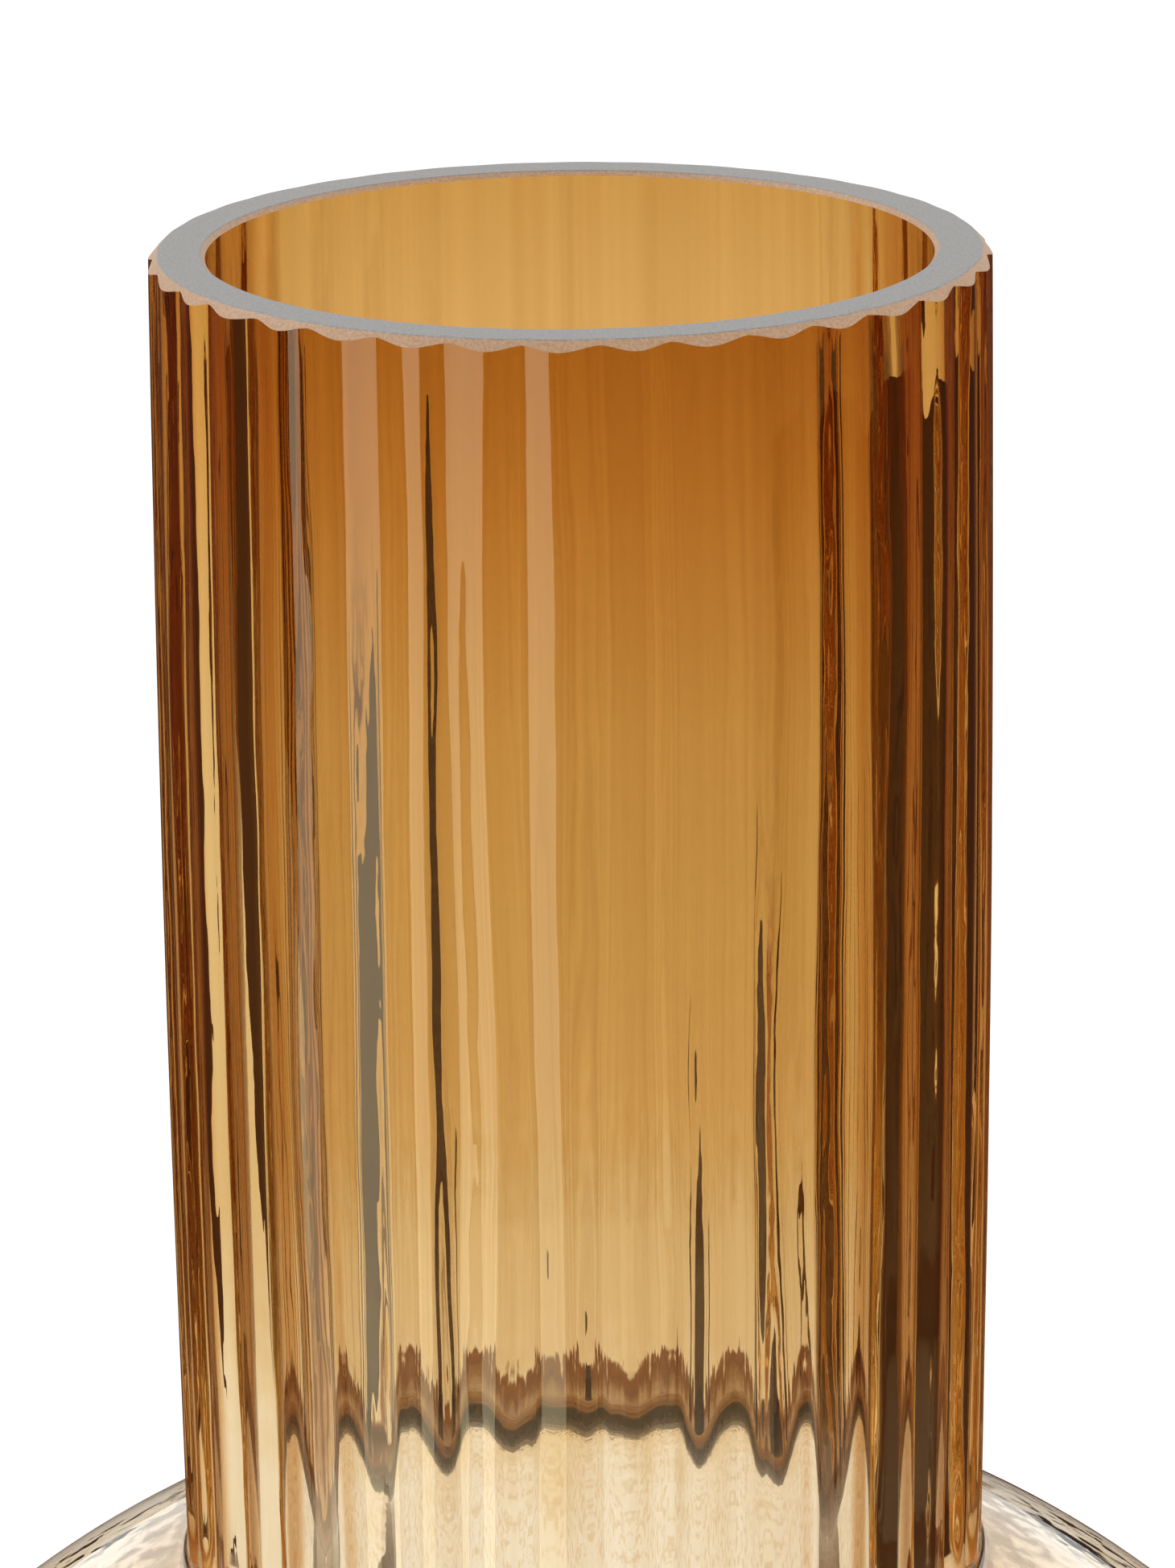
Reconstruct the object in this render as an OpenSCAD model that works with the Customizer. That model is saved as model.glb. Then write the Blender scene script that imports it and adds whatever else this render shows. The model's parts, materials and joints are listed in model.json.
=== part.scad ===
// Hand blown glass vase: an amber ribbed neck standing on a round champagne bulb.
// The origin is the centre of the face that the vase rests on, and +Z is up.
// The two gathers of glass meet on one flat seam, a lip of amber lines the throat below it,
// and both are blown round one hollow.

/* [Neck] */
// Outside diameter of the neck, measured over the crests of its ribs
neck_d = 80; // [74:1:96]
// Length of the neck, from the seam to the ground rim
neck_len = 132; // [60:1:200]
// Diameter of the straight bore through the neck
bore_d = 69; // [50:0.5:74]
// Number of ribs round the neck
rib_count = 36; // [24:1:48]
// Length of the plain lip that reaches down inside the bulb's collar
lip_len = 4; // [2:0.5:5]
// Depth of the valleys between the ribs
rib_depth = 0.65; // [0.4:0.05:1.2]

/* [Ground rim] */
// Width of the ground bevel round the outside of the mouth
rim_bevel = 1.3; // [0.8:0.1:2]
// Width of the fine bevel round the inside of the mouth
bore_bevel = 0.5; // [0.2:0.1:1]

/* [Bulb] */
// Outside diameter of the bulb
bulb_d = 200; // [160:1:240]
// Thickness of the bulb's wall
bulb_wall = 4; // [2.5:0.1:6]
// Radius of the concave fillet where the shoulder turns up to the neck
weld_r = 1.5; // [0.5:0.1:4]
// Radius of the rounded lip where the bore opens into the bulb
throat_r = 10; // [3:0.5:12]

/* [Base] */
// Diameter of the ground face that the vase rests on
foot_d = 84; // [60:1:110]
// Thickness of the glass floor above that face
floor_t = 9; // [6:0.5:14]
// Radius between the floor and the wall, inside the bulb
heel_r = 20; // [8:1:30]
// Diameter of the shallow dish ground into the underside
dish_d = 56; // [20:1:58]
// Depth of that dish at its middle
dish_depth = 2; // [0.5:0.1:4]

/* [Hidden] */

$fn = 180;
rib_fn = 48;
// Length that a cutting shape runs past the face that it cuts
overrun = 5;

neck_r = neck_d / 2;
bore_r = bore_d / 2;
bulb_r = bulb_d / 2;
foot_r = foot_d / 2;
dish_edge = dish_d / 2;
dish_r = (pow(dish_edge, 2) + pow(dish_depth, 2)) / (2 * dish_depth);

// Each rib is a round bar, sized so that neighbouring bars cross rib_depth below the crests
rib_pitch = 360 / rib_count;
valley_x = (neck_r - rib_depth) * cos(rib_pitch / 2);
valley_y = (neck_r - rib_depth) * sin(rib_pitch / 2);
rib_r = (pow(neck_r - valley_x, 2) + pow(valley_y, 2)) / (2 * (neck_r - valley_x));
// The core behind the ribs stays below the valleys, and the lip carries it on below the seam
core_r = neck_r - 2 * rib_depth;

// The bulb's sphere stands on the foot's edge, and the weld fillet touches it and the neck
bulb_z = sqrt(pow(bulb_r, 2) - pow(foot_r, 2));
weld_x = neck_r + weld_r;
seam_z = bulb_z + sqrt(pow(bulb_r + weld_r, 2) - pow(weld_x, 2));
shoulder_x = weld_x * bulb_r / (bulb_r + weld_r);
shoulder_z = bulb_z + (seam_z - bulb_z) * bulb_r / (bulb_r + weld_r);

// The throat's arc touches the hollow's sphere and the bore
hollow_r = bulb_r - bulb_wall;
throat_x = bore_r + throat_r;
throat_z = bulb_z + sqrt(pow(hollow_r + throat_r, 2) - pow(throat_x, 2));
flare_x = throat_x * hollow_r / (hollow_r + throat_r);
flare_z = bulb_z + (throat_z - bulb_z) * hollow_r / (hollow_r + throat_r);

// The heel's arc touches the flat floor and the hollow's sphere
heel_z = floor_t + heel_r;
heel_x = sqrt(pow(hollow_r - heel_r, 2) - pow(bulb_z - heel_z, 2));
wall_x = heel_x * hollow_r / (hollow_r - heel_r);
wall_z = bulb_z - (bulb_z - heel_z) * hollow_r / (hollow_r - heel_r);

rim_z = seam_z + neck_len;

// The stretch of the half plane right of the axis, between two heights
module band(low, high) {
    translate([0, low])
        square([bulb_r + overrun, high - low]);
}

// Outside of the bulb: a sphere cut off at the foot, with a collar that turns up to the neck
module bulb_outline() {
    intersection() {
        translate([0, bulb_z])
            circle(r = bulb_r);
        band(0, shoulder_z);
    }
    difference() {
        polygon([
            [0, bulb_z],
            [shoulder_x, shoulder_z],
            [weld_x, seam_z],
            [0, seam_z],
        ]);
        translate([weld_x, seam_z])
            circle(r = weld_r);
    }
}

// Lower part of the hollow: flat floor, rounded heel and sphere
module bulb_hollow_outline() {
    polygon([
        [0, floor_t],
        [heel_x, floor_t],
        [wall_x, wall_z],
        [0, bulb_z],
    ]);
    intersection() {
        translate([heel_x, heel_z])
            circle(r = heel_r);
        band(floor_t, wall_z);
    }
    intersection() {
        translate([0, bulb_z])
            circle(r = hollow_r);
        band(wall_z, flare_z);
    }
}

// Upper part of the hollow: rounded throat, straight bore and the bevel inside the mouth
module bore_outline() {
    difference() {
        polygon([
            [0, bulb_z],
            [flare_x, flare_z],
            [throat_x, throat_z],
            [bore_r, throat_z],
            [bore_r, rim_z - bore_bevel],
            [bore_r + bore_bevel + overrun, rim_z + overrun],
            [0, rim_z + overrun],
        ]);
        translate([throat_x, throat_z])
            circle(r = throat_r);
    }
}

// The one hollow that both gathers of glass are blown round
module hollow() {
    rotate_extrude()
        union() {
            bulb_hollow_outline();
            bore_outline();
        }
}

// Shallow dish under the base, cut with a large sphere
module dish() {
    rotate_extrude()
        intersection() {
            translate([0, dish_depth - dish_r])
                circle(r = dish_r);
            band(-overrun, dish_depth + overrun);
        }
}

// Ring of round bars round a solid core
module ribbed_section() {
    circle(r = core_r);
    for (k = [0 : rib_count - 1])
        rotate(k * rib_pitch)
            translate([neck_r - rib_r, 0])
                circle(r = rib_r, $fn = rib_fn);
}

// Plain lip that seats in the bulb's collar and runs on up into the ribbed section
module lip() {
    translate([0, 0, seam_z - lip_len])
        cylinder(r = core_r, h = lip_len + overrun);
}

// Turned blank that leaves the ground bevel where it cuts the ribs
module rim_blank() {
    rotate_extrude()
        polygon([
            [0, seam_z],
            [neck_r + overrun, seam_z],
            [neck_r + overrun, rim_z - rim_bevel - overrun],
            [neck_r - rim_bevel, rim_z],
            [0, rim_z],
        ]);
}

module body() {
    color([0.96, 0.90, 0.76, 0.5])
        difference() {
            rotate_extrude()
                bulb_outline();
            lip();
            hollow();
            dish();
        }
}

module neck() {
    color([0.70, 0.42, 0.12, 0.6])
        difference() {
            union() {
                intersection() {
                    translate([0, 0, seam_z])
                        linear_extrude(height = neck_len)
                            ribbed_section();
                    rim_blank();
                }
                lip();
            }
            hollow();
        }
}

body();
neck();
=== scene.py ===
"""Blown glass vase: an amber ribbed neck on a pale round bulb, on a plain pale floor."""
import json
import math

import bmesh
import bpy
from mathutils import Matrix, Vector, noise


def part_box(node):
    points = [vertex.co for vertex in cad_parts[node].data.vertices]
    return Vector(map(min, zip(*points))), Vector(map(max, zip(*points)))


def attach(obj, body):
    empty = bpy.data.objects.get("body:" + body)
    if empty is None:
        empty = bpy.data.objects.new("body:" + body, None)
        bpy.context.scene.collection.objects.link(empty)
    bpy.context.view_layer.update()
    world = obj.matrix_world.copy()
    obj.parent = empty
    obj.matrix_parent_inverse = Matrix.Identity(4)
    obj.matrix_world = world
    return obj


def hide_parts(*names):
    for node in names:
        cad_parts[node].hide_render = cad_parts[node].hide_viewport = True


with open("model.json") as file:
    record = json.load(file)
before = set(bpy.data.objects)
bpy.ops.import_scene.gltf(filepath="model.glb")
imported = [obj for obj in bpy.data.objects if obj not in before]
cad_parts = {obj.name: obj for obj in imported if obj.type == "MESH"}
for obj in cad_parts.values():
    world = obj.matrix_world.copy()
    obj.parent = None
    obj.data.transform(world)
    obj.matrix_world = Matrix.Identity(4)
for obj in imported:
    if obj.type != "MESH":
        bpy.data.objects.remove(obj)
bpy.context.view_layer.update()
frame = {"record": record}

MM = 0.001

# ---- Sizes read from the frame ----
neck_low, neck_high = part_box("neck")
body_low, body_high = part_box("body")
mouth = next(m for m in frame["record"]["mounts"] if m["name"] == "mouth")
NECK_R = (neck_high[0] - neck_low[0]) / 2
BORE_R = mouth["dims"]["r_mm"] * MM
SEAM_Z = body_high[2]
RIM_Z = neck_high[2]
BULB_R = (body_high[0] - body_low[0]) / 2

# ---- Sizes of the glass that the frame's boxes don't give ----
RIBS = 36
RIB_DEPTH = 0.65 * MM
LIP_LENGTH = 4 * MM
RIM_BEVEL = 1.0 * MM
BORE_BEVEL = 0.5 * MM
BULB_WALL = 4 * MM
WELD_R = 1.5 * MM
THROAT_R = 10 * MM
FOOT_R = 42 * MM
FLOOR_T = 9 * MM
HEEL_R = 20 * MM
DISH_EDGE = 28 * MM
DISH_DEPTH = 2 * MM
# The two pieces stand this far apart at the seam, so that their faces never lie in one place
SEAM_GAP = 0.02 * MM
NECK_SIDES = RIBS * 16
BULB_SIDES = 288

LIP_Z = SEAM_Z - LIP_LENGTH
LIP_R = NECK_R - 2 * RIB_DEPTH
BULB_Z = math.sqrt(BULB_R**2 - FOOT_R**2)
HOLLOW_R = BULB_R - BULB_WALL
WELD_X = NECK_R + WELD_R
THROAT_X = BORE_R + THROAT_R
THROAT_Z = BULB_Z + math.sqrt((HOLLOW_R + THROAT_R)**2 - THROAT_X**2)
HEEL_Z = FLOOR_T + HEEL_R
HEEL_X = math.sqrt((HOLLOW_R - HEEL_R)**2 - (BULB_Z - HEEL_Z)**2)
DISH_R = (DISH_EDGE**2 + DISH_DEPTH**2) / (2 * DISH_DEPTH)

# ---- Sizes of the marks of hand work, as shares or in metres ----
RIB_WANDER = 0.10
RIB_WANDER_FINE = 0.018
RIB_UNEVEN = 0.15
RIB_UNEVEN_FINE = 0.04
RIB_DEPTH_LOW = 1.35
RIB_DEPTH_FALL = 0.5
NECK_SWELL = 0.45 * MM
BORE_RIPPLE = 0.14 * MM
BORE_RIPPLE_FINE = 0.02 * MM
BORE_CALM = 10 * MM
HOLLOW_WAVE = 0.15 * MM

# ---- Glass ----
GLASS_IOR = 1.5
THROAT_HAZE = 0.3
AMBER_ABSORBS = (4, 13, 34)
CHAMPAGNE_ABSORBS = (1.5, 5, 12)
AMBER_FADE = 36 * MM
RAGGED_FADE = 20 * MM
RAGGED_THROAT_BAND = 7 * MM
RAGGED_COLLAR_SHADE = 14 * MM

# ---- Studio ----
FLOOR_R = 9
PAPER = (0.8, 0.8, 0.8)
CARD_BLACK = (0.05, 0.018, 0.005)
CARD_GLOW = (1, 0.94, 0.62)
CARD_LIFT = 0.2 * MM
MATT = 0.9
MIRROR_NEAR, MIRROR_FAR = 0.42, 3.0
LENS_NEAR, LENS_FAR = 0.4, 1.35
PALE_FROM, PALE_TO, PALE_GLOW = -54, -22, 2.9
WORLD_STRENGTH = 1.15
SOFTBOX = (1.6, 1.6)
SOFTBOX_TARGET = (0, 0.3, 0)
KEY_PLACE, KEY_POWER = (-1.5, 0.8, 2.2), 22
FILL_PLACE, FILL_POWER = (1.8, 0.6, 2.0), 8

# ---- Camera ----
CAMERA_LENS = 145.2
CAMERA_PLACE = (0.01435, -0.5865, RIM_Z + 0.1285)
CAMERA_TURN = 1.290
CAMERA_DIP = 17.226
CAMERA_ROLL = -0.610

BULB = (0, BULB_Z)
WELD = (WELD_X, SEAM_Z)
THROAT = (THROAT_X, THROAT_Z)
HEEL = (HEEL_X, HEEL_Z)
DISH = (0, DISH_DEPTH - DISH_R)


# ---- Drawing an outline, one end vertex at a time ----
def bearing(centre, point):
    """Angle of a point seen from a centre, in the outline's plane."""
    return math.atan2(point[1] - centre[1], point[0] - centre[0])


def start_outline(x, z):
    bm = bmesh.new()
    return bm, bm.verts.new((x, 0, z))


def draw_line(bm, end, x, z, steps=1):
    """Draws the outline on from its end, straight to a point."""
    start = end.co.copy()
    for step in range(steps):
        end = bmesh.ops.extrude_vert_indiv(bm, verts=[end])["verts"][0]
        end.co = start.lerp(Vector((x, 0, z)), (step + 1) / steps)
    return end


def draw_arc(bm, end, centre, turn, steps):
    """Draws the outline on from its end, round a centre, anticlockwise where turn is positive."""
    drawn = bmesh.ops.spin(
        bm, geom=[end], cent=(centre[0], 0, centre[1]), axis=(0, -1, 0), angle=turn, steps=steps,
    )
    return next(e for e in drawn["geom_last"] if isinstance(e, bmesh.types.BMVert))


def turn_on_axis(bm, steps):
    """Turns the outline all the way round, into a closed skin that faces outwards."""
    bmesh.ops.spin(
        bm, geom=bm.verts[:] + bm.edges[:], cent=(0, 0, 0), axis=(0, 0, 1),
        angle=math.tau, steps=steps, use_merge=True,
    )
    bmesh.ops.remove_doubles(bm, verts=bm.verts, dist=0.0001 * MM)
    bmesh.ops.recalc_face_normals(bm, faces=bm.faces)


def throat_bearing(z):
    """Angle on the throat's rounding at a height: the rounding bulges towards the axis."""
    return math.pi + math.asin((THROAT_Z - z) / THROAT_R)


def throat_x(z):
    return THROAT_X + THROAT_R * math.cos(throat_bearing(z))


# ---- Outlines of the two pieces ----
def neck_outline():
    """From the seam up the outside, over the rim and down the bore."""
    bm, end = start_outline(NECK_R, SEAM_Z)
    end = draw_line(bm, end, NECK_R, RIM_Z - RIM_BEVEL, 72)
    end = draw_line(bm, end, NECK_R - RIM_BEVEL, RIM_Z, 4)
    end = draw_line(bm, end, BORE_R + BORE_BEVEL, RIM_Z, 6)
    end = draw_line(bm, end, BORE_R, RIM_Z - BORE_BEVEL, 2)
    end = draw_line(bm, end, BORE_R, THROAT_Z, 44)
    end = draw_arc(bm, end, THROAT, throat_bearing(LIP_Z) - math.pi, 16)
    end = draw_line(bm, end, LIP_R, LIP_Z)
    end = draw_line(bm, end, LIP_R, SEAM_Z, 4)
    draw_line(bm, end, NECK_R, SEAM_Z, 2)
    return bm


def bulb_outline():
    """From the middle of the dish round the outside, over the seam and down the hollow to the floor."""
    seam = SEAM_Z - SEAM_GAP
    ledge = LIP_Z - SEAM_GAP
    collar_r = LIP_R + SEAM_GAP
    mouth_turn = bearing(BULB, THROAT)
    bm, end = start_outline(0, DISH_DEPTH)
    end = draw_arc(bm, end, DISH, bearing(DISH, (DISH_EDGE, 0)) - math.pi / 2, 10)
    end = draw_line(bm, end, FOOT_R, 0, 4)
    foot_turn = bearing(BULB, (FOOT_R, 0))
    shoulder_turn = bearing(BULB, WELD)
    end = draw_arc(bm, end, BULB, shoulder_turn - foot_turn, 120)
    end = draw_arc(bm, end, WELD, -shoulder_turn, 6)
    end.co.z = seam
    end = draw_line(bm, end, collar_r, seam, 2)
    end = draw_line(bm, end, collar_r, ledge, 4)
    end = draw_line(bm, end, throat_x(ledge), ledge)
    end = draw_arc(bm, end, THROAT, mouth_turn + math.pi - throat_bearing(ledge), 8)
    heel_turn = bearing(BULB, HEEL)
    end = draw_arc(bm, end, BULB, heel_turn - mouth_turn, 110)
    end = draw_arc(bm, end, HEEL, -math.pi / 2 - heel_turn, 10)
    draw_line(bm, end, 0, FLOOR_T, 10)
    return bm


# ---- The marks of hand work ----
def round_noise(angle, z, seed, lobes, run):
    """Smooth noise from -1 to 1: about this many lobes round the axis, and this long along it."""
    spot = Vector((math.cos(angle) * lobes / 4, math.sin(angle) * lobes / 4, z / run + seed))
    return noise.noise(spot)


def rib_dip(angle, z):
    """How far the ribbed side lies inside the circle of its crests."""
    pitch = math.tau / RIBS
    wander = RIB_WANDER * round_noise(angle, z, 3.1, 24, 45 * MM)
    wander += RIB_WANDER_FINE * round_noise(angle, z, 9.7, 70, 9 * MM)
    turn = (angle + math.pi / 2) / pitch + wander
    rib = round(turn)
    across = 2 * (turn - rib)
    uneven = RIB_UNEVEN * noise.noise(Vector((rib * 1.7, 0.5, z / (60 * MM))))
    uneven += RIB_UNEVEN_FINE * round_noise(angle, z, 5.3, 90, 7 * MM)
    shape = 0.3 * across**2 + 0.35 * (1 - math.cos(math.pi * across))
    softened = RIB_DEPTH_LOW - RIB_DEPTH_FALL * (z - SEAM_Z) / (RIM_Z - SEAM_Z)
    return RIB_DEPTH * softened * (1 + uneven) * shape


def ease(share):
    share = min(max(share, 0), 1)
    return share * share * (3 - 2 * share)


def move_out(vert, distance):
    """Moves a vertex straight away from the axis."""
    radius = math.hypot(vert.co.x, vert.co.y)
    vert.co.x *= 1 + distance / radius
    vert.co.y *= 1 + distance / radius


def shape_neck(bm):
    """Presses in the ribs, swells the barrel a little, and leaves the bevel ground flat."""
    bevel_z = RIM_Z - RIM_BEVEL
    flat_r = NECK_R - RIM_BEVEL
    hair = 0.001 * MM
    for vert in bm.verts:
        angle = math.atan2(vert.co.y, vert.co.x)
        radius = math.hypot(vert.co.x, vert.co.y)
        z = vert.co.z
        swell = NECK_SWELL * math.sin(math.pi * (z - SEAM_Z) / (RIM_Z - SEAM_Z))
        if radius > flat_r + hair and z > bevel_z - hair:
            share = (RIM_Z - z) / RIM_BEVEL
            dip = rib_dip(angle, bevel_z) * share
            vert.co.z += dip
            move_out(vert, -dip)
        elif radius > LIP_R + hair and z > SEAM_Z - hair:
            share = min((radius - LIP_R) / (NECK_R - LIP_R), 1)
            move_out(vert, (swell - rib_dip(angle, z)) * share)
        elif radius < BORE_R + hair and z < RIM_Z - BORE_BEVEL - hair:
            ripple = BORE_RIPPLE * round_noise(angle, z, 21.0, 60, 300 * MM)
            ripple += BORE_RIPPLE_FINE * round_noise(angle, z, 2.0, 90, 8 * MM)
            move_out(vert, (swell + ripple) * ease((z - THROAT_Z) / BORE_CALM))


def shape_bulb(bm):
    """Gives the hollow the slow waves of blown glass."""
    for vert in bm.verts:
        radius = math.hypot(vert.co.x, vert.co.y)
        reach = math.hypot(radius, vert.co.z - BULB_Z)
        if abs(reach - HOLLOW_R) < 0.01 * MM and vert.co.z > HEEL_Z:
            way = Vector((vert.co.x, vert.co.y, vert.co.z - BULB_Z)) / reach
            vert.co += way * HOLLOW_WAVE * noise.noise(way * 6)


# ---- Making a finished piece ----
def finish_piece(bm, name, coats, crease=28):
    """Makes the mesh an object that rides on the root, with its coats in order of material index."""
    for face in bm.faces:
        face.smooth = True
    for edge in bm.edges:
        if len(edge.link_faces) == 2 and edge.calc_face_angle() > math.radians(crease):
            edge.smooth = False
    mesh = bpy.data.meshes.new(name)
    bm.to_mesh(mesh)
    bm.free()
    for coat in coats:
        mesh.materials.append(coat)
    piece = bpy.data.objects.new(name, mesh)
    bpy.context.scene.collection.objects.link(piece)
    piece.visible_shadow = False
    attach(piece, "root")
    return piece


# ---- Node helpers ----
def new_material(name):
    mat = bpy.data.materials.new(name)
    mat.use_nodes = True
    nodes = mat.node_tree.nodes
    return mat, nodes, mat.node_tree.links, nodes["Principled BSDF"]


def group_tree(name, inputs, outputs):
    """An empty node group: inputs is a dict of name to default value, outputs a list of names."""
    tree = bpy.data.node_groups.new(name, "ShaderNodeTree")
    tree.interface.new_socket("Position", in_out="INPUT", socket_type="NodeSocketVector")
    for label, value in inputs.items():
        socket = tree.interface.new_socket(label, in_out="INPUT", socket_type="NodeSocketFloat")
        socket.default_value = value
    for label in outputs:
        tree.interface.new_socket(label, in_out="OUTPUT", socket_type="NodeSocketFloat")
    return tree, tree.nodes.new("NodeGroupInput"), tree.nodes.new("NodeGroupOutput")


def use_group(nodes, links, tree, position, **values):
    node = nodes.new("ShaderNodeGroup")
    node.node_tree = tree
    links.new(position, node.inputs["Position"])
    for label, value in values.items():
        node.inputs[label.replace("_", " ")].default_value = value
    return node


def maths(nodes, links, operation, first, second=None):
    node = nodes.new("ShaderNodeMath")
    node.operation = operation
    for socket, value in zip(node.inputs, (first, second)):
        if isinstance(value, (int, float)):
            socket.default_value = value
        elif value is not None:
            links.new(value, socket)
    return node.outputs[0]


def make_draw_lines():
    """Streaks that run along the axis, where the soft glass was drawn out."""
    tree, given, out = group_tree("draw_lines", {"Lines": 60, "Run": 0.03, "Detail": 2}, ["Height"])
    nodes, links = tree.nodes, tree.links
    split = nodes.new("ShaderNodeSeparateXYZ")
    links.new(given.outputs["Position"], split.inputs[0])
    flat = nodes.new("ShaderNodeCombineXYZ")
    links.new(split.outputs["X"], flat.inputs["X"])
    links.new(split.outputs["Y"], flat.inputs["Y"])
    unit = nodes.new("ShaderNodeVectorMath")
    unit.operation = "NORMALIZE"
    links.new(flat.outputs[0], unit.inputs[0])
    wide = nodes.new("ShaderNodeVectorMath")
    wide.operation = "SCALE"
    links.new(unit.outputs[0], wide.inputs[0])
    links.new(given.outputs["Lines"], wide.inputs["Scale"])
    along = maths(nodes, links, "DIVIDE", split.outputs["Z"], given.outputs["Run"])
    lift = nodes.new("ShaderNodeCombineXYZ")
    links.new(along, lift.inputs["Z"])
    place = nodes.new("ShaderNodeVectorMath")
    place.operation = "ADD"
    links.new(wide.outputs[0], place.inputs[0])
    links.new(lift.outputs[0], place.inputs[1])
    streaks = nodes.new("ShaderNodeTexNoise")
    streaks.inputs["Scale"].default_value = 1
    links.new(place.outputs[0], streaks.inputs["Vector"])
    links.new(given.outputs["Detail"], streaks.inputs["Detail"])
    links.new(streaks.outputs["Fac"], out.inputs["Height"])
    return tree


def bump(nodes, links, height, depth, before=None):
    """A bump of this depth in metres, on top of an earlier one."""
    node = nodes.new("ShaderNodeBump")
    node.inputs["Strength"].default_value = 1
    node.inputs["Distance"].default_value = depth
    links.new(height, node.inputs["Height"])
    if before is not None:
        links.new(before, node.inputs["Normal"])
    return node.outputs[0]


def absorb(nodes, links, per_metre):
    """Glass that takes off this much of red, green and blue along each metre of light."""
    most = max(per_metre) * 1.05
    body = nodes.new("ShaderNodeVolumeAbsorption")
    body.inputs["Density"].default_value = most
    body.inputs["Color"].default_value = [1 - share / most for share in per_metre] + [1]
    links.new(body.outputs[0], nodes["Material Output"].inputs["Volume"])


def object_position(nodes):
    return nodes.new("ShaderNodeTexCoord").outputs["Object"]


def split_position(nodes, links, position):
    node = nodes.new("ShaderNodeSeparateXYZ")
    links.new(position, node.inputs[0])
    return node


def grain(nodes, links, position, scale, detail):
    """Noise from 0 to 1 that fills the glass."""
    node = nodes.new("ShaderNodeTexNoise")
    node.inputs["Scale"].default_value = scale
    node.inputs["Detail"].default_value = detail
    links.new(position, node.inputs["Vector"])
    return node.outputs["Fac"]


def map_range(nodes, links, value, low, high, start=0, stop=1):
    """Runs from start to stop while a value runs from low to high."""
    node = nodes.new("ShaderNodeMapRange")
    node.inputs["From Min"].default_value = low
    node.inputs["From Max"].default_value = high
    node.inputs["To Min"].default_value = start
    node.inputs["To Max"].default_value = stop
    links.new(value, node.inputs["Value"])
    return node.outputs[0]


def ragged_shift(nodes, links, noise_value, middle, reach):
    """A height that comes and goes round a middle value of noise."""
    return maths(nodes, links, "MULTIPLY", maths(nodes, links, "SUBTRACT", noise_value, middle), reach)


def clear_glass(name):
    """A new glass, smooth and clear until its maker colours it."""
    mat, nodes, links, shader = new_material(name)
    shader.inputs["Transmission Weight"].default_value = 1
    shader.inputs["IOR"].default_value = GLASS_IOR
    shader.inputs["Roughness"].default_value = 0
    return mat, nodes, links, shader


def ramp(nodes, links, value, low, high, stops):
    """A colour that changes with a value, between low and high. stops are (share, colour)."""
    span = map_range(nodes, links, value, low, high)
    node = nodes.new("ShaderNodeValToRGB")
    steps = node.color_ramp.elements
    steps.remove(steps[0])
    for number, (share, colour) in enumerate(stops):
        step = steps[0] if number == 0 else steps.new(share)
        step.position = share
        step.color = (*colour, 1)
    links.new(span, node.inputs[0])
    return node.outputs[0]


def multiply(nodes, links, first, second):
    """One colour times another."""
    node = nodes.new("ShaderNodeMix")
    node.data_type = "RGBA"
    node.blend_type = "MULTIPLY"
    node.inputs["Factor"].default_value = 1
    links.new(first, node.inputs["A"])
    links.new(second, node.inputs["B"])
    return node.outputs["Result"]


# ---- Materials ----
def make_throat_band_and_shade(nodes, links, position, split, ragged):
    """A band of amber where the bore opens into the bulb, on the throat's skin only, darkened towards
    black with painted shade.

    It is slightly hazy towards its lower edge.
    """
    flat = nodes.new("ShaderNodeVectorMath")
    flat.operation = "MULTIPLY"
    flat.inputs[1].default_value = (1, 1, 0)
    links.new(position, flat.inputs[0])
    radius = nodes.new("ShaderNodeVectorMath")
    radius.operation = "LENGTH"
    links.new(flat.outputs[0], radius.inputs[0])
    skin = maths(nodes, links, "LESS_THAN", radius.outputs["Value"], LIP_R - 0.05 * MM)
    shift = ragged_shift(nodes, links, ragged, 1, RAGGED_THROAT_BAND)
    depth = maths(nodes, links, "ADD", split.outputs["Z"], shift)
    masked = maths(nodes, links, "ADD", depth, maths(nodes, links, "SUBTRACT", 1, skin))
    stops = (
        (0.00, (0.42, 0.30, 0.21)),
        (0.45, (0.26, 0.15, 0.09)),
        (0.66, (0.12, 0.045, 0.016)),
        (0.80, (0.05, 0.010, 0.002)),
        (0.92, (0.10, 0.02, 0.004)),
        (1.00, (1.00, 1.00, 1.00)),
    )
    haze = map_range(nodes, links, masked, LIP_Z, THROAT_Z + 1.5 * MM, THROAT_HAZE, 0)
    links.new(haze, nodes["Principled BSDF"].inputs["Roughness"])
    return ramp(nodes, links, masked, LIP_Z, THROAT_Z + 2.2 * MM, stops)


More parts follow.
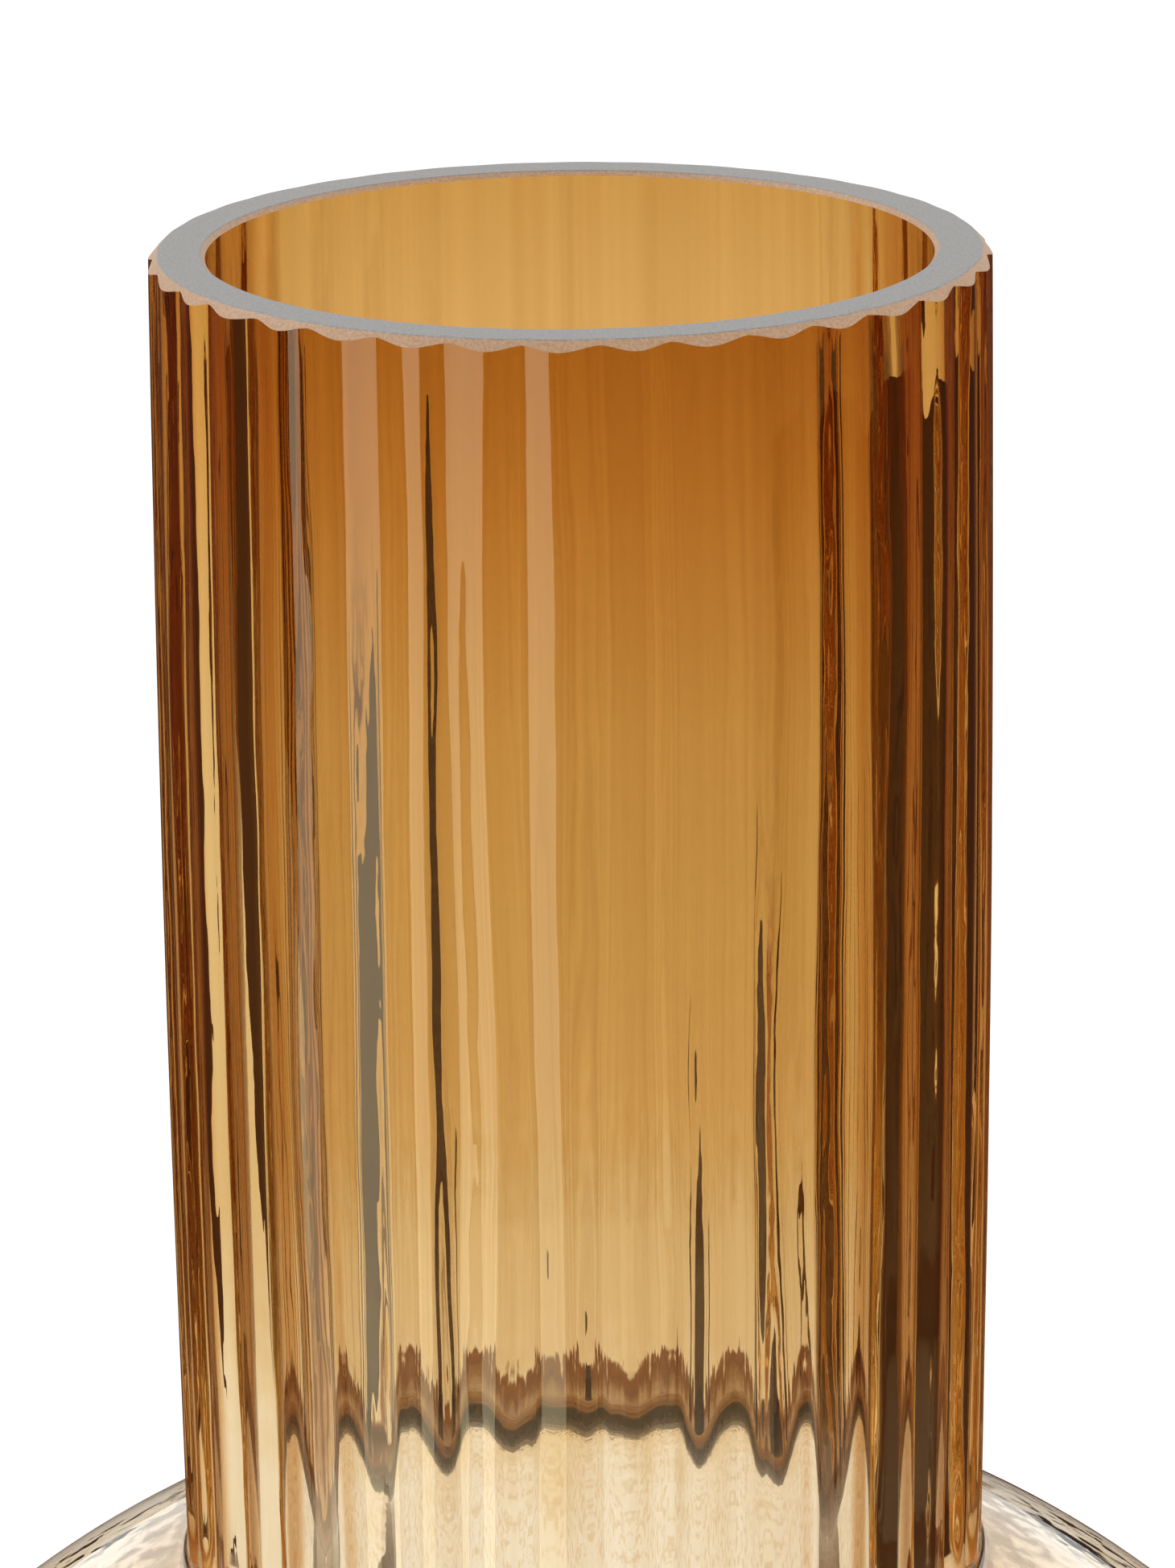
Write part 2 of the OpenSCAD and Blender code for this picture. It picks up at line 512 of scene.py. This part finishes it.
def make_amber_glass(lines):
    """Honey brown at the rim, paler downwards, with painted shade where it is seen edge on."""
    mat, nodes, links, shader = clear_glass("amber_glass")
    position = object_position(nodes)
    split = split_position(nodes, links, position)
    patches = grain(nodes, links, position, 330, 2)
    wide = use_group(nodes, links, lines, position, Lines=20, Run=0.3, Detail=3)
    ragged = maths(nodes, links, "ADD", patches, wide.outputs["Height"])
    shift = ragged_shift(nodes, links, ragged, 1, RAGGED_FADE)
    level = maths(nodes, links, "ADD", split.outputs["Z"], shift)
    fade = (
        (0.00, (1.00, 1.00, 1.00)),
        (0.52, (1.00, 0.985, 0.96)),
        (0.84, (0.89, 0.765, 0.54)),
        (1.00, (0.86, 0.705, 0.475)),
    )
    low = ramp(nodes, links, level, SEAM_Z, SEAM_Z + AMBER_FADE, fade)
    stops = (
        (0.27, (0.92, 0.87, 0.79)),
        (0.36, (0.885, 0.815, 0.66)),
        (0.56, (0.89, 0.82, 0.65)),
        (0.71, (0.84, 0.72, 0.50)),
        (0.89, (0.76, 0.53, 0.25)),
        (1.00, (0.68, 0.46, 0.18)),
    )
    high = ramp(nodes, links, split.outputs["Z"], SEAM_Z, RIM_Z, stops)
    streaks = ((0, (1, 1, 1)), (1, (0.88, 0.83, 0.75)))
    thick = ramp(nodes, links, wide.outputs["Height"], 0.35, 0.65, streaks)
    tint = multiply(nodes, links, multiply(nodes, links, low, high), thick)
    # Amber band at the throat, with painted shade that stands in for the shaded floor seen through it.
    roll = make_throat_band_and_shade(nodes, links, position, split, ragged)
    # Painted shade: the colour darkens towards black where the glass is seen edge on.
    facing = nodes.new("ShaderNodeLayerWeight")
    edges = (
        (0.00, (1.00, 1.00, 1.00)),
        (0.37, (1.00, 1.00, 1.00)),
        (0.46, (0.80, 0.57, 0.33)),
        (0.56, (0.55, 0.27, 0.10)),
        (1.00, (0.22, 0.08, 0.03)),
    )
    painted_edge_shade = ramp(nodes, links, facing.outputs["Facing"], 0, 1, edges)
    tint = multiply(nodes, links, multiply(nodes, links, tint, roll), painted_edge_shade)
    links.new(tint, shader.inputs["Base Color"])
    bands = use_group(nodes, links, lines, position, Lines=28, Run=0.25, Detail=0.5)
    beads = use_group(nodes, links, lines, position, Lines=45, Run=0.004, Detail=1)
    normal = bump(nodes, links, bands.outputs["Height"], 0.025 * MM)
    normal = bump(nodes, links, beads.outputs["Height"], 0.004 * MM, normal)
    links.new(normal, shader.inputs["Normal"])
    absorb(nodes, links, AMBER_ABSORBS)
    return mat


def make_champagne_glass(lines):
    """Nearly colourless, mottled inside, with painted grey-brown shade in the collar under the seam."""
    mat, nodes, links, shader = clear_glass("champagne_glass")
    position = object_position(nodes)
    split = split_position(nodes, links, position)
    stops = (
        (0.00, (0.965, 0.93, 0.87)),
        (0.60, (0.95, 0.89, 0.79)),
        (0.85, (0.87, 0.74, 0.58)),
        (1.00, (0.70, 0.50, 0.30)),
    )
    tint = ramp(nodes, links, split.outputs["Z"], SEAM_Z - 14 * MM, SEAM_Z, stops)
    centre = nodes.new("ShaderNodeVectorMath")
    centre.operation = "DISTANCE"
    centre.inputs[1].default_value = (0, 0, BULB_Z)
    links.new(position, centre.inputs[0])
    inside = maths(nodes, links, "LESS_THAN", centre.outputs["Value"], (HOLLOW_R + BULB_R) / 2)
    streaks = use_group(nodes, links, lines, position, Lines=30, Run=0.0022, Detail=1)
    near = map_range(nodes, links, split.outputs["Z"], 70 * MM, 158 * MM, 0.84, 1)
    patches = grain(nodes, links, position, 420, 2)
    patchy = maths(nodes, links, "ADD", streaks.outputs["Height"], patches)
    patchy = maths(nodes, links, "MULTIPLY", patchy, inside)
    patchy = maths(nodes, links, "MULTIPLY", patchy, near)
    clouds = ramp(nodes, links, patchy, 0.96, 1.16, ((0, (1, 1, 1)), (1, (0.80, 0.66, 0.47))))
    shift = ragged_shift(nodes, links, patches, 0.5, RAGGED_COLLAR_SHADE)
    level = maths(nodes, links, "ADD", split.outputs["Z"], shift)
    level = maths(nodes, links, "MULTIPLY", level, inside)
    # Painted shade: grey-brown under the seam, standing in for the shaded floor seen through the glass.
    collar_shade_stops = (
        (0.00, (1.00, 1.00, 1.00)),
        (0.30, (0.92, 0.84, 0.74)),
        (0.60, (0.70, 0.55, 0.40)),
        (1.00, (0.50, 0.36, 0.24)),
    )
    collar = ramp(nodes, links, level, SEAM_Z - 13 * MM, SEAM_Z - 3 * MM, collar_shade_stops)
    clouds = multiply(nodes, links, clouds, collar)
    haze = map_range(nodes, links, level, SEAM_Z - 9 * MM, SEAM_Z - 6 * MM, 0, THROAT_HAZE)
    links.new(haze, shader.inputs["Roughness"])
    links.new(multiply(nodes, links, tint, clouds), shader.inputs["Base Color"])
    dimples = maths(nodes, links, "MULTIPLY", grain(nodes, links, position, 300, 1), inside)
    links.new(bump(nodes, links, dimples, 0.04 * MM), shader.inputs["Normal"])
    absorb(nodes, links, CHAMPAGNE_ABSORBS)
    return mat


def make_ground_rim():
    """The rim's ground faces: a satin grey flat and rosy bevels, colours that are partly painted light,
    with painted glints where the grit sparkles.
    """
    mat, nodes, links, shader = new_material("ground_rim")
    position = object_position(nodes)
    split = split_position(nodes, links, position)
    # Ground glass colour, partly painted light: the flat's grey and the bevels' rose stand in for what
    # each face scatters from the studio.
    finish = ((0, (0.33, 0.19, 0.10)), (1, (0.17, 0.163, 0.152)))
    colour = ramp(nodes, links, split.outputs["Z"], RIM_Z - 0.15 * MM, RIM_Z - 0.02 * MM, finish)
    grit = grain(nodes, links, position, 3500, 3)
    # Painted glints: specks of the grit are brightened in the colour.
    painted_sparkle_stops = ((0, (0.9, 0.9, 0.9)), (1, (1.3, 1.35, 1.4)))
    painted_glint = ramp(nodes, links, grit, 0.35, 0.75, painted_sparkle_stops)
    links.new(multiply(nodes, links, colour, painted_glint), shader.inputs["Base Color"])
    shader.inputs["Roughness"].default_value = 0.5
    links.new(bump(nodes, links, grit, 0.006 * MM), shader.inputs["Normal"])
    return mat


def coat_ground_faces(bm):
    """Gives the rim's ground faces the second coat."""
    for face in bm.faces:
        place = face.calc_center_median()
        if face.normal.z > 0.5 and place.z > RIM_Z - 1.05 * RIM_BEVEL:
            face.material_index = 1


# ---- Pieces ----
def make_neck(glass, ground):
    bm = neck_outline()
    turn_on_axis(bm, NECK_SIDES)
    shape_neck(bm)
    bm.normal_update()
    coat_ground_faces(bm)
    piece = finish_piece(bm, "amber_neck", [glass, ground])
    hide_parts("neck")


def make_bulb(glass):
    bm = bulb_outline()
    turn_on_axis(bm, BULB_SIDES)
    shape_bulb(bm)
    piece = finish_piece(bm, "champagne_bulb", [glass])
    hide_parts("body")


# ---- Studio ----
def plain_material(name, colour, roughness):
    mat, _, _, shader = new_material(name)
    shader.inputs["Base Color"].default_value = (*colour, 1)
    shader.inputs["Roughness"].default_value = roughness
    shader.inputs["Specular IOR Level"].default_value = 0.1
    return mat


def stage_object(bm, name, material):
    mesh = bpy.data.meshes.new(name)
    bm.to_mesh(mesh)
    bm.free()
    mesh.materials.append(material)
    thing = bpy.data.objects.new(name, mesh)
    bpy.context.scene.collection.objects.link(thing)
    return thing


def make_floor():
    bm = bmesh.new()
    bmesh.ops.create_circle(bm, cap_ends=True, segments=96, radius=FLOOR_R)
    stage_object(bm, "floor", plain_material("pale_paper", PAPER, MATT))


def hide_card(card, glossy, transmission):
    """A card shows only in what the glass mirrors, or only in what it bends into view."""
    card.visible_camera = False
    card.visible_diffuse = False
    card.visible_shadow = False
    card.visible_glossy = glossy
    card.visible_transmission = transmission


def make_ring_card(name, near, far, begin, finish, mirrored, glow=0):
    """A flat sector of card just over the floor, from one angle to another.

    Angles are in degrees, from the front round to the right. With a glow the card is pale.
    """
    bm, start = start_outline(0, CARD_LIFT)
    start.co.y = -near
    end = draw_line(bm, start, 0, CARD_LIFT)
    end.co.y = -far
    turn = Matrix.Rotation(math.radians(begin), 3, "Z")
    bmesh.ops.rotate(bm, verts=bm.verts, cent=(0, 0, 0), matrix=turn)
    bmesh.ops.spin(
        bm, geom=bm.verts[:] + bm.edges[:], cent=(0, 0, 0), axis=(0, 0, 1),
        angle=math.radians(finish - begin), steps=32,
    )
    material = plain_material(name, CARD_BLACK, MATT)
    shader = material.node_tree.nodes["Principled BSDF"]
    shader.inputs["Emission Color"].default_value = (*CARD_GLOW, 1)
    shader.inputs["Emission Strength"].default_value = glow
    card = stage_object(bm, name, material)
    hide_card(card, glossy=mirrored, transmission=not mirrored)


def make_side_flag(name, side):
    """A black flag beside and behind the vase, which widens and drops away from it.

    Its front edge stays behind the vase, or it would cross the bulb in views from the sides.
    """
    near, far = 0.22, 1.3
    spread = 0.62
    clear = 0.135
    height, fall = 0.12, 0.069
    bm = bmesh.new()
    bmesh.ops.create_grid(bm, x_segments=1, y_segments=1, size=0.5)
    bmesh.ops.scale(bm, vec=(far - near, 2, 1), verts=bm.verts)
    bmesh.ops.translate(bm, vec=((far + near) / 2, 0, 0), verts=bm.verts)
    for vert in bm.verts:
        vert.co.y = vert.co.x * spread if vert.co.y > 0 else clear
        vert.co.z = height - fall * vert.co.x
        vert.co.x *= side
    card = stage_object(bm, name, plain_material(name, CARD_BLACK, MATT))
    hide_card(card, glossy=False, transmission=True)


def make_world():
    world = bpy.data.worlds.new("studio")
    bpy.context.scene.world = world
    world.use_nodes = True
    world.node_tree.nodes["Background"].inputs["Color"].default_value = (1, 1, 1, 1)
    world.node_tree.nodes["Background"].inputs["Strength"].default_value = WORLD_STRENGTH


def make_light(name, place, target, size, power):
    data = bpy.data.lights.new(name, "AREA")
    data.shape = "RECTANGLE"
    data.size, data.size_y = size
    data.energy = power
    light = bpy.data.objects.new(name, data)
    bpy.context.scene.collection.objects.link(light)
    light.location = place
    way = Vector(target) - Vector(place)
    light.rotation_euler = way.to_track_quat("-Z", "Y").to_euler()


def make_camera():
    data = bpy.data.cameras.new("camera")
    data.lens = CAMERA_LENS
    data.clip_start, data.clip_end = 0.01, 50
    camera = bpy.data.objects.new("camera", data)
    bpy.context.scene.collection.objects.link(camera)
    place = Matrix.Translation(CAMERA_PLACE)
    turn = Matrix.Rotation(math.radians(CAMERA_TURN), 4, "Z")
    tilt = Matrix.Rotation(math.radians(90 - CAMERA_DIP), 4, "X")
    roll = Matrix.Rotation(math.radians(CAMERA_ROLL), 4, "Z")
    camera.matrix_world = place @ turn @ tilt @ roll
    bpy.context.scene.camera = camera


def set_light_paths():
    """Lets light cross all the faces of the glass, and shows colours as they are."""
    scene = bpy.context.scene
    scene.view_settings.view_transform = "Standard"
    scene.cycles.max_bounces = 24
    scene.cycles.transmission_bounces = 24
    scene.cycles.glossy_bounces = 12
    scene.cycles.transparent_max_bounces = 16


draw_lines = make_draw_lines()
make_neck(make_amber_glass(draw_lines), make_ground_rim())
make_bulb(make_champagne_glass(draw_lines))
make_floor()
make_ring_card("mirror_card_left", MIRROR_NEAR, MIRROR_FAR, -180, PALE_FROM, mirrored=True)
make_ring_card("mirror_card_right", MIRROR_NEAR, MIRROR_FAR, PALE_TO, 180, mirrored=True)
make_ring_card(
    "pale_card_left", MIRROR_NEAR, MIRROR_FAR, PALE_FROM, PALE_TO, mirrored=True, glow=PALE_GLOW,
)
make_ring_card("lens_card_right", LENS_NEAR, LENS_FAR, 70, 157, mirrored=False)
make_ring_card("lens_card_left", LENS_NEAR, LENS_FAR, -157, -145, mirrored=False)
make_side_flag("black_flag_left", -1)
make_world()
make_light("key", KEY_PLACE, SOFTBOX_TARGET, SOFTBOX, KEY_POWER)
make_light("fill", FILL_PLACE, SOFTBOX_TARGET, SOFTBOX, FILL_POWER)
make_camera()
set_light_paths()
